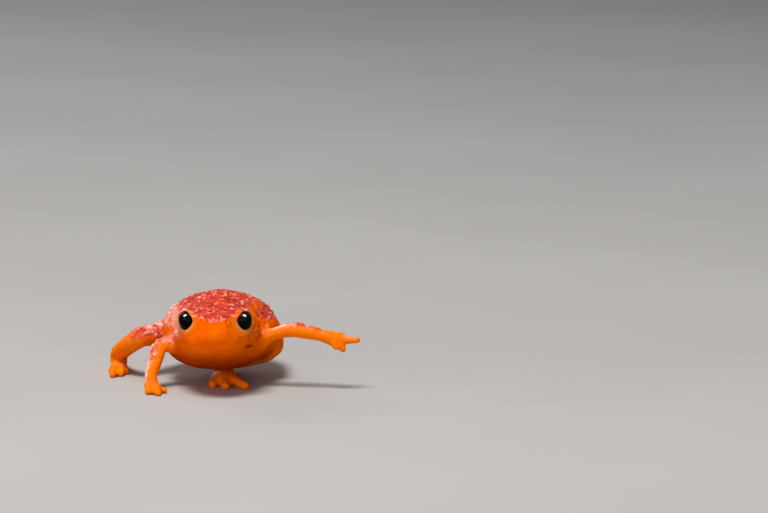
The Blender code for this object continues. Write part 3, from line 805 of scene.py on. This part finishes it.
class Places:
    """Where each vertex is: on the straight body, on which limb, how high, and how it faces."""

    def __init__(self, points, normals, body_distance):
        self.points = points
        x, self.y, self.z = turn_body(points, back=True).T
        self.x = np.abs(x)
        self.across, self.level, self.up = points[:, 0], points[:, 2], normals[:, 2]
        self.sideways = 0.3 * self.up - 0.85 * normals[:, 0]
        limbs = [ease(-0.05, 0.30, body_distance - limb.at(points)) for limb in LIMBS]
        self.right_arm, self.left_arm, self.right_leg, self.left_leg = limbs
        self.on_limb = np.clip(sum(limbs), 0, 1)
        self.raised = ease(0.45, 0.90, self.level)
        self.above_knee = ease(-5.9, -5.0, self.across)
        self.high = ease(1.3, 1.9, self.z)
        outer = ease(0.15, 0.70, self.sideways + 0.28 * self.high)
        self.outer = outer * self.right_arm * self.raised
        flank = ease(-1.8, -2.4, self.across) * ease(3.3, 3.8, self.z) * ease(4.85, 4.35, self.z)
        self.flank = flank * ease(1.2, 2.2, self.y) * ease(8.2, 6.4, self.y)
        self.shoulder, self.along_shoulder = from_line(points, SHOULDER)
        self.arm_ridge = from_line(points, ARM_RIDGE)[0]
        self.mottle = self.cloud(0.24, 9)

    def cloud(self, size, seed):
        return drift(self.points, size, seed)


def red_marks(at):
    """The red of the back and the limbs' upper sides, and the height of the back's lower edge."""
    # The edge is a wavy line, high on the face and low on the flanks.
    border = curve(FLANK_FRONT + FLANK_BACK, at.y)[:, 0]
    border += ease(2.9, 2.3, at.y) * (curve(FACE_BORDER, at.x)[:, 0] - border)
    wavy = (0.16 * at.cloud(0.9, 3) + 0.10 * at.cloud(0.35, 4)) * ease(1.0, 3.0, at.y)
    red = ease(-0.10, 0.10, at.z - border + wavy + 0.10 * at.cloud(0.2, 5))
    red *= 1 - 0.92 * bell(from_line(at.points, STRIPE)[0] + 0.08 * at.cloud(0.3, 17), 0.34)
    red *= 1 - at.on_limb
    above = at.up + 0.25 * at.cloud(0.5, 6)
    thigh = ease(1.9, 2.4, at.level)
    red += 0.90 * ease(-0.15, 0.40, above) * thigh * at.above_knee * at.right_leg
    red += 0.80 * ease(0.15, 0.65, above) * thigh * at.left_leg
    arm = ease(0.25, 0.75, at.up + 0.35 * at.cloud(0.30, 7) - 0.20)
    elbow = ease(3.4, 3.9, at.across) * ease(6.3, 5.4, at.across)
    red += 0.75 * arm * at.left_arm * elbow
    red += 0.45 * arm * at.right_arm * at.raised
    red += 0.90 * at.outer * at.high * ease(-0.15, 0.20, at.cloud(0.14, 23) - 0.4 * at.mottle)
    return np.clip(red, 0, 1), border


def sheen_marks(at):
    """Painted sheen: pinkish, paler colour where the wet skin reflects the light, on the right flank and
    shoulder and on the outer edges of the limbs.
    """
    leg_top = ease(0.3, 0.8, at.up) * at.right_leg * at.raised * (0.4 + 0.6 * at.above_knee)
    pink_sheen = at.flank * ease(-0.6, 0.2, at.cloud(0.35, 8) + 0.2)
    pink_sheen += 0.95 * at.outer * (1 - 0.7 * at.high) * ease(-0.25, 0.25, at.mottle)
    pink_sheen += 0.75 * leg_top * ease(-0.1, 0.5, at.cloud(0.3, 10))
    pink_sheen += 0.9 * bell(at.shoulder, 0.18) + 0.3 * bell(at.arm_ridge, 0.09)
    return np.clip(pink_sheen, 0, 1)


def belly_shade_marks(at):
    """Painted shade: the deep red-brown on the throat and the belly where they face down near the floor,
    and on the front of the left knee.
    """
    dark = ease(3.0, 1.2, at.z) * ease(0.10, -0.60, at.up) * (1 - 0.7 * at.on_limb)
    knee = ease(1.2, 2.0, at.across) * ease(8.8, 7.4, at.points[:, 1])
    knee *= ease(0.1, 0.6, 0.35 + at.cloud(1.2, 11))
    return np.clip(dark + 0.6 * at.left_leg * knee, 0, 1)


def glare_marks(at, tip):
    """Painted highlights: pale colour where the wet limbs, shoulder and right flank catch the light,
    broken up by grains' tips.
    """
    broken_top = ease(0.25, 0.75, at.up) * ease(-0.1, 0.5, at.cloud(0.45, 10))
    pale = 0.7 * at.right_leg * broken_top * (0.3 + 0.7 * tip)
    pale += 0.45 * at.left_arm * broken_top * (0.4 + 0.6 * tip)
    for glare in THIGH_GLARES:
        pale += 1.1 * ease(0.45, 0.12, away_from(at.points, glare)) * (0.7 + 0.3 * tip)
    pale += 0.9 * at.outer * (0.3 * (1 - at.high) + 0.7 * tip) * ease(-0.4, 0.1, at.mottle)
    pale += 0.6 * at.flank * tip * ease(1.8, 3.0, at.y)
    pale += ease(0.50, 0.88, at.sideways) * at.right_arm * ease(2.3, 1.6, at.level)
    pale *= at.raised
    upper_fold = bell(at.shoulder, 0.13) * ease(0.25, 0.7, at.along_shoulder)
    pale += 0.9 * upper_fold * (0.4 + 0.6 * tip)
    pale += 0.9 * bell(at.arm_ridge, 0.09) * ease(-0.3, 0.3, at.cloud(0.18, 22))
    return pale + ease(0.50, 0.22, away_from(at.points, FOOT_GLARE))


def markings(points, normals, body_distance):
    """The share of each marking at each vertex, and the height of the skin's grains there."""
    at = Places(points, normals, body_distance)
    lid, brow_glint, clear = lid_marks(points)
    red, border = red_marks(at)
    pink_sheen = sheen_marks(at)
    front_face = ease(3.6, 2.6, at.y) * ease(2.8, 3.3, at.z) * (1 - red)
    spot, wart = spot_and_shade_marks(points, front_face)

    # Grains: close and proud on the red, sparse and small elsewhere on the upper side.
    grain, fine = grain_marks(points)
    tip = ease(0.20, 0.60, grain) * clear
    upper = ease(-0.3, 0.6, at.up)
    sparse = np.clip(0.5 * pink_sheen + 0.25 * upper * at.on_limb + 0.2 * upper + 0.6 * brow_glint, 0, 1)
    height = (GRAIN_HEIGHT * grain + FINE_HEIGHT * fine) * np.clip(red + sparse, 0, 1) * clear
    height += WART_HEIGHT * wart

    # Painted highlights: pale places, with tips along the red's lower edge, over the eyes and on the
    # back.
    pale = glare_marks(at, tip)
    rim = bell(at.z - border + 0.06 * at.cloud(0.2, 5), 0.05) * ease(2.2, 1.6, at.y)
    rim *= 1 - at.on_limb
    pale += 0.5 * rim * ease(-0.1, 0.3, at.cloud(0.16, 19)) * clear
    pale += 0.55 * brow_glint * ease(0.0, 0.4, at.cloud(0.16, 18))
    pale += 0.12 * red * tip * ease(3.0, 6.0, at.y)
    pale = np.clip(pale, 0, 1) * (1 - 0.6 * wart)

    # The grains' own light and shade, softer further back.
    shade = np.clip(grain * 0.8 + fine * 0.4, 0, 1)
    shade += 0.45 * ease(3.0, 5.5, at.y) * (0.42 - shade)
    wet = np.clip(np.maximum(red, pink_sheen) * (0.15 + 0.60 * tip) + pale + 0.3 * brow_glint, 0, 1)
    marks = dict(red=red, limb=at.on_limb, pink_sheen=pink_sheen, dark=belly_shade_marks(at), lid=lid, pale=pale, wet=wet)
    return dict(marks, spot=spot, wart=wart, grain=shade * clear), height


def add_relief(skin, body):
    """Raises grains, folds and wrinkles on the skin and sinks the line of the mouth, and returns the
    markings."""
    p, normals = skin.points, skin.normals()
    marks, height = markings(p, normals, body.at(p))
    height += sum(rise * drift(p, size, seed) for rise, size, seed in SWELLS)
    for rise, width, line in FOLDS:
        away, share = from_line(p, line)
        height += rise * bell(away, width) * ease(0.0, 0.15, share) * ease(1.0, 0.85, share)
    line, here = mouth_line(p)
    height -= LIP_LINE_DEPTH * here * bell(line, LIP_LINE_WIDTH)
    height *= ease(0.0, 0.12, p[:, 2])
    skin.points = p + normals * height[:, None]
    return marks


def place(points):
    """From the CAD source's millimetres to the row frame's metres."""
    return (np.asarray(points) - SHIFT) * MM


def add_object(name, data):
    obj = bpy.data.objects.new(name, data)
    bpy.context.scene.collection.objects.link(obj)
    return obj


def add_mesh(name, points, faces, material):
    """A smooth object from points in the CAD source's millimetres."""
    mesh = bpy.data.meshes.new(name)
    mesh.from_pydata(place(points).tolist(), [], faces)
    mesh.validate()
    mesh.shade_smooth()
    mesh.materials.append(material)
    return add_object(name, mesh)


def add_marks(obj, marks):
    """Keeps each mark, a number for each vertex, under its name on the object's mesh."""
    for name, values in marks.items():
        layer = obj.data.attributes.new(name, "FLOAT", "POINT")
        layer.data.foreach_set("value", values.astype(np.float32))


class Nodes:
    """A material's node tree, with short ways to add what the materials here use."""

    def __init__(self, name):
        self.material = bpy.data.materials.new(name)
        self.material.use_nodes = True
        self.tree = self.material.node_tree
        self.shader = self.tree.nodes["Principled BSDF"]
        self.coordinates = self.tree.nodes.new("ShaderNodeTexCoord").outputs["Object"]

    def feed(self, socket, value):
        """Links a node's output to a socket, or sets a number or a colour on it. A name alone means
        one of the shader's own sockets."""
        if isinstance(socket, str):
            socket = self.shader.inputs[socket]
        if isinstance(value, (int, float)):
            socket.default_value = value
        elif isinstance(value, tuple):
            socket.default_value = (*value, 1.0)
        else:
            self.tree.links.new(value, socket)

    def node(self, kind, values, **settings):
        """A new node of a kind, with its settings and a value or a link for each of its inputs."""
        node = self.tree.nodes.new(f"ShaderNode{kind}")
        for name, value in settings.items():
            setattr(node, name, value)
        for name, value in values.items():
            self.feed(node.inputs[name], value)
        return node

    def mark(self, name):
        return self.node("Attribute", {}, attribute_name=name).outputs["Fac"]

    def noise(self, size, detail=3.0, rough=0.5):
        """Cloudy noise whose patches are about size millimetres across."""
        values = {"Vector": self.coordinates, "Scale": 1 / (size * MM), "Detail": detail}
        return self.node("TexNoise", {**values, "Roughness": rough}).outputs["Fac"]

    def cells(self, size):
        values = {"Vector": self.coordinates, "Scale": 1 / (size * MM)}
        return self.node("TexVoronoi", values).outputs["Distance"]

    def ramp(self, source, low, high, start=0.0, end=1.0):
        values = {"Value": source, "From Min": low, "From Max": high, "To Min": start, "To Max": end}
        return self.node("MapRange", values, interpolation_type="SMOOTHSTEP").outputs["Result"]

    def math(self, operation, a, b):
        return self.node("Math", {0: a, 1: b}, operation=operation).outputs[0]

    def mix(self, share, a, b):
        """Colour a where share is 0 and b where it is 1. The colours are the node's inputs 6 and 7."""
        return self.node("Mix", {0: share, 6: a, 7: b}, data_type="RGBA").outputs[2]

    def bump(self, height, depth, strength, before=None):
        """Bump from a height of 0 to 1 that stands for depth millimetres."""
        node = self.node("Bump", {"Height": height, "Distance": depth * MM, "Strength": strength})
        if before is not None:
            self.feed(node.inputs["Normal"], before)
        return node.outputs["Normal"]


def skin_material():
    n = Nodes("toadlet_skin")
    patches = n.ramp(n.noise(1.1, 4.0), 0.35, 0.68)
    fine = n.ramp(n.noise(0.16, 3.0), 0.38, 0.66)
    colour = n.mix(patches, (0.84, 0.090, 0.0005), (0.92, 0.145, 0.001))
    colour = n.mix(n.math("MULTIPLY", fine, 0.35), colour, (0.96, 0.19, 0.002))
    # Painted shade: the deep red-brown of the shaded throat and belly.
    belly = n.mix(fine, (0.36, 0.026, 0.0005), (0.48, 0.042, 0.001))
    grain = n.mark("grain")
    red = n.mix(n.ramp(n.noise(0.55, 4.0), 0.38, 0.62), (0.42, 0.020, 0.013), (0.62, 0.056, 0.028))
    # Paler tops of the grains, partly their own colour and partly painted glints; the grain mark holds
    # their painted light and shade.
    pale_lit_tops = n.mix(n.ramp(n.noise(0.4, 2.0), 0.40, 0.62), (0.80, 0.19, 0.11), (0.90, 0.38, 0.26))
    red = n.mix(n.ramp(grain, 0.22, 0.62), red, pale_lit_tops)
    # Painted sheen: the pinkish colour of wet skin reflecting the light, paler on the grains.
    pink_sheen = n.mix(n.ramp(grain, 0.2, 0.8), (0.84, 0.27, 0.22), (0.95, 0.52, 0.50))
    # Each marking over the last: its name, how much it covers, and its colour.
    for mark, cover, paint in (
        ("limb", 0.75, (0.97, 0.205, 0.004)),
        ("wart", 0.6, (0.98, 0.36, 0.03)),
        # The dark marking is painted shade.
        ("dark", 1.0, belly),
        ("red", 1.0, red),
        # The pinkish marking is painted sheen.
        ("pink_sheen", 0.85, pink_sheen),
        # The pale marking is painted highlights.
        ("pale", 0.8, (0.98, 0.66, 0.56)),
        ("lid", 0.7, (0.60, 0.29, 0.08)),
        # The spot marking holds real dark spots and painted shade in the nostrils, the mouth's line and
        # a crease.
        ("spot", 1.0, (0.22, 0.020, 0.002)),
    ):
        colour = n.mix(n.math("MULTIPLY", n.mark(mark), cover), colour, paint)
    n.feed("Base Color", colour)
    wet = n.mark("wet")
    dry = n.ramp(n.noise(0.45, 3.0), 0.35, 0.65, 0.44, 0.56)
    n.feed("Roughness", n.math("SUBTRACT", dry, n.math("MULTIPLY", wet, 0.22)))
    # The socket's own number is for an export that drops the link.
    n.feed("Specular IOR Level", 0.08)
    n.feed("Specular IOR Level", n.math("MULTIPLY", wet, 0.26))
    n.feed("Specular Tint", (1.0, 0.34, 0.14))
    n.feed("Coat Weight", n.math("MULTIPLY", wet, 0.20))
    n.feed("Coat Roughness", 0.12)
    n.feed("Subsurface Weight", 0.20)
    n.feed("Subsurface Scale", 0.0004)
    n.shader.inputs["Subsurface Radius"].default_value = (1.0, 0.25, 0.06)
    pores = n.bump(n.cells(0.075), 0.006, 0.7)
    n.feed("Normal", n.bump(n.noise(0.05, 2.0), 0.005, 0.6, pores))
    return n.material


def eye_material():
    n = Nodes("toadlet_eye")
    flecks = n.ramp(n.noise(0.12, 4.0, 0.6), 0.52, 0.75)
    bronze = n.math("MULTIPLY", flecks, n.mark("iris"))
    n.feed("Base Color", n.mix(bronze, (0.0002, 0.0002, 0.0002), (0.0009, 0.0006, 0.0003)))
    n.feed("Specular IOR Level", 0.035)
    n.feed("Roughness", 0.12)
    return n.material


def floor_material():
    n = Nodes("studio_floor")
    cloud = n.ramp(n.noise(40.0, 5.0), 0.3, 0.7)
    n.feed("Base Color", n.mix(cloud, (0.44, 0.43, 0.42), (0.47, 0.46, 0.45)))
    n.feed("Roughness", 0.9)
    n.feed("Normal", n.bump(n.noise(0.5, 3.0), 0.01, 0.3))
    return n.material


def make_eye(eye, name, node, material, rows=48, sides=64):
    """An eyeball with a cornea that bulges out of it, a little above the middle of the lids."""
    angles = np.pi * np.arange(1, rows) / rows
    turn = 2 * np.pi * np.arange(sides) / sides
    a, b = (v.ravel() for v in np.meshgrid(angles, turn, indexing="ij"))
    side = unit(np.cross(eye.gaze, (0.0, 0.0, 1.0)))
    up = np.cross(side, eye.gaze)
    along = CORNEA_AT * np.cos(a)
    cornea = along + np.sqrt(np.maximum(CORNEA_RADIUS**2 - (CORNEA_AT * np.sin(a)) ** 2, 0))
    radius = -joined(-np.full(len(a), EYE_RADIUS), -cornea, CORNEA_FILLET)
    ring = np.cos(b)[:, None] * side + np.sin(b)[:, None] * up
    points = radius[:, None] * (np.cos(a)[:, None] * eye.gaze + np.sin(a)[:, None] * ring)
    ends = [eye.gaze * (CORNEA_AT + CORNEA_RADIUS), -eye.gaze * EYE_RADIUS]
    points = np.vstack([points, ends]) + eye.centre
    obj = add_mesh(name, points, ring_faces(rows - 1, sides), material)
    shown = np.concatenate([a, [0.0, np.pi]])
    add_marks(obj, {"iris": ease(0.35, 0.5, shown) * ease(0.95, 0.75, shown)})
    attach(obj, "root")
    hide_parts(node)
    return obj


def area_light(name, centre, size, watts, colour):
    data = bpy.data.lights.new(name, "AREA")
    data.shape = "RECTANGLE"
    data.size, data.size_y = size
    data.energy = watts
    data.color = colour
    obj = add_object(name, data)
    obj.location = centre
    obj.rotation_euler = (LIT - Vector(centre)).to_track_quat("-Z", "Y").to_euler()
    return obj


def studio(eyeballs):
    mesh = bpy.data.meshes.new("studio_floor")
    turns = [2 * math.pi * k / FLOOR_SIDES for k in range(FLOOR_SIDES)]
    rim = [(FLOOR_RADIUS * math.cos(turn), FLOOR_RADIUS * math.sin(turn), 0.0) for turn in turns]
    mesh.from_pydata(rim, [], [tuple(range(FLOOR_SIDES))])
    mesh.materials.append(floor_material())
    floor = add_object("studio_floor", mesh)
    area_light("key", *KEY)
    area_light("front", *FRONT)
    for eyeball, at in zip(eyeballs, CATCH_AT):
        name = f"catch_{eyeball.name}"
        catch = area_light(name, at, *CATCH)
        catch.light_linking.receiver_collection = bpy.data.collections.new(name)
        catch.light_linking.receiver_collection.objects.link(eyeball)
    area_light("back", *BACK)
    world = bpy.data.worlds.new("studio")
    bpy.context.scene.world = world
    world.use_nodes = True
    background = world.node_tree.nodes["Background"]
    background.inputs["Color"].default_value = WORLD_COLOUR
    background.inputs["Strength"].default_value = WORLD_STRENGTH
    bpy.context.scene.view_settings.view_transform = "Standard"


def camera():
    data = bpy.data.cameras.new("camera")
    data.sensor_width = 36.0
    data.lens = CAMERA_LENS
    data.clip_start, data.clip_end = 0.005, 10.0
    obj = add_object("camera", data)
    obj.location = place(CAMERA_AT)
    obj.rotation_euler = (CAMERA_TILT, 0.0, 0.0)
    bpy.context.scene.camera = obj


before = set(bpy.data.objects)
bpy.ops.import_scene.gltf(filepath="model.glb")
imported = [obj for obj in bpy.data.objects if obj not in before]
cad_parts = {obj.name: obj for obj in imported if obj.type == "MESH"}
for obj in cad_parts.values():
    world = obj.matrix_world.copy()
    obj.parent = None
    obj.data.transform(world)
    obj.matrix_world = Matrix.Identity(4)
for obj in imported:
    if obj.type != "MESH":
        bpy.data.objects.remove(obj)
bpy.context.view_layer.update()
box_low, box_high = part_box("eye_left")
SHIFT = EYES[1].centre - np.array((box_low + box_high) / 2) / MM

body_field = BodyField()
toadlet = build_skin(body_field)
marks = add_relief(toadlet, body_field)
skin = add_mesh("skin", toadlet.points, toadlet.faces.tolist(), skin_material())
add_marks(skin, marks)
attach(skin, "root")
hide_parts(*FLESH)
black = eye_material()
eyeballs = []
for eye, side in zip(EYES, ("right", "left")):
    eyeballs.append(make_eye(eye, f"eyeball_{side}", f"eye_{side}", black))
studio(eyeballs)
camera()
